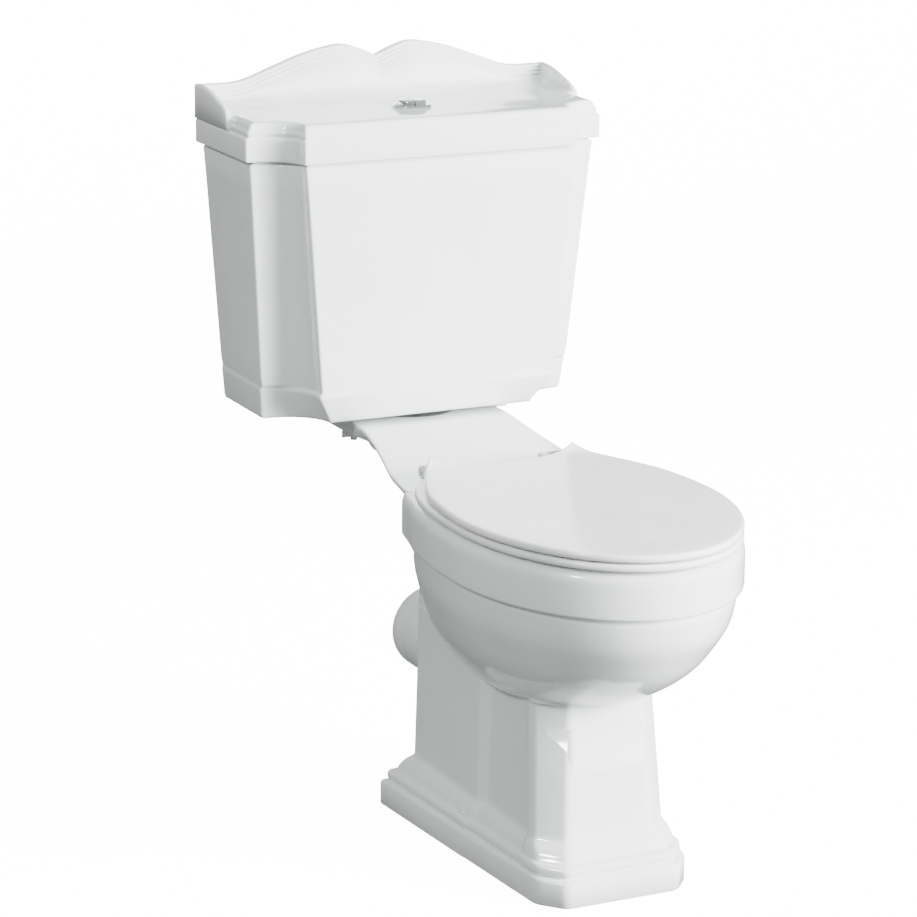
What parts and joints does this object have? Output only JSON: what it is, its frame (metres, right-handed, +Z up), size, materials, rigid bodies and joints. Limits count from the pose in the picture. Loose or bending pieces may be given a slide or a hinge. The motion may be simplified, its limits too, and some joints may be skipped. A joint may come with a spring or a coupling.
{
  "type": "close coupled toilet",
  "caption": "Traditional close coupled toilet: china pan on a moulded pedestal, tapered cistern with a scrolled lid and push buttons, hinged seat and lid, flush and fill valves inside.",
  "frame": {"origin": "on the floor, on the centre line, halfway between the wall plane at the back of the cistern lid and the front of the seat", "axes": "+X to the right of someone facing the toilet, +Y towards the wall, +Z up"},
  "size_m": [0.45, 0.776, 0.8412],
  "materials": {
    "glazed_china": "gloss",
    "seat_plastic": "gloss",
    "chrome": "polished",
    "white_plastic": "satin",
    "grey_plastic": "satin",
    "blue_plastic": "satin",
    "brass": "satin",
    "zinc_steel": "satin",
    "black_rubber": "matte",
    "clear_buffer": "satin",
    "spring_steel": "satin"
  },
  "bodies": {
    "pan_body": {"pan": "glazed_china", "cistern_body": "glazed_china", "hinge_post_left": "chrome", "hinge_post_right": "chrome", "hinge_pins": "zinc_steel", "hinge_gaskets": "clear_buffer", "seat_studs": "zinc_steel", "seat_washers": "white_plastic", "seat_nuts": "white_plastic", "valve_base": "grey_plastic", "valve_washer": "black_rubber", "valve_backnut": "grey_plastic", "doughnut_seal": "black_rubber", "valve_tower": "white_plastic", "coupling_bolts": "zinc_steel", "coupling_seals": "black_rubber", "coupling_spacers": "black_rubber", "coupling_washers": "zinc_steel", "coupling_nuts": "white_plastic", "fill_valve_body": "white_plastic", "fill_valve_washer": "black_rubber", "fill_valve_backnut": "brass", "fill_valve_head": "grey_plastic", "float_arm_pin": "zinc_steel"},
    "cistern_lid_body": {"cistern_lid": "glazed_china", "button_bezel": "chrome", "button_nut": "white_plastic", "full_flush_spring": "spring_steel", "half_flush_spring": "spring_steel"},
    "full_flush": {"full_flush_button": "chrome", "full_flush_rod": "white_plastic"},
    "half_flush": {"half_flush_button": "chrome", "half_flush_rod": "white_plastic"},
    "rising_valve": {"valve_lift": "blue_plastic", "valve_seal": "black_rubber"},
    "seat_lid_body": {"seat_lid": "seat_plastic", "lid_buffers": "clear_buffer"},
    "seat_ring_body": {"seat_ring": "seat_plastic", "ring_buffers": "clear_buffer"},
    "float_body": {"float_arm": "white_plastic", "float_screw": "white_plastic", "float_cup": "grey_plastic"}
  },
  "joints": [
    {"name": "cistern_lid_lift", "type": "slide", "parent": "pan_body", "child": "cistern_lid_body", "axis": [0, 0, 1], "range_m": [0, 0.18]},
    {"name": "full_flush_press", "type": "slide", "parent": "cistern_lid_body", "child": "full_flush", "axis": [0, 0, -1], "range_m": [0, 0.008], "stiffness_N_per_m": 600, "springref_m": -0.002, "deforming": ["full_flush_spring"]},
    {"name": "half_flush_press", "type": "slide", "parent": "cistern_lid_body", "child": "half_flush", "axis": [0, 0, -1], "range_m": [0, 0.008], "stiffness_N_per_m": 600, "springref_m": -0.002, "deforming": ["half_flush_spring"]},
    {"name": "rising_valve_lift", "type": "slide", "parent": "pan_body", "child": "rising_valve", "axis": [0, 0, 1], "range_m": [0, 0.016]},
    {"name": "seat_lid_hinge", "type": "hinge", "parent": "pan_body", "child": "seat_lid_body", "pos_m": [0, 0.046, 0.408], "axis": [-1, 0, 0], "range_deg": [0, 105]},
    {"name": "seat_ring_hinge", "type": "hinge", "parent": "pan_body", "child": "seat_ring_body", "pos_m": [0, 0.046, 0.408], "axis": [-1, 0, 0], "range_deg": [0, 98]},
    {"name": "float_arm_hinge", "type": "hinge", "parent": "pan_body", "child": "float_body", "pos_m": [0.128, 0.342, 0.7], "axis": [0, 1, 0], "range_deg": [-20, 0]}
  ],
  "couplings": [
    {"joint": "rising_valve_lift", "follows": "full_flush_press", "ratio": 2},
    {"joint": "seat_ring_hinge", "follows": "seat_lid_hinge", "ratio": 0.9333}
  ]
}
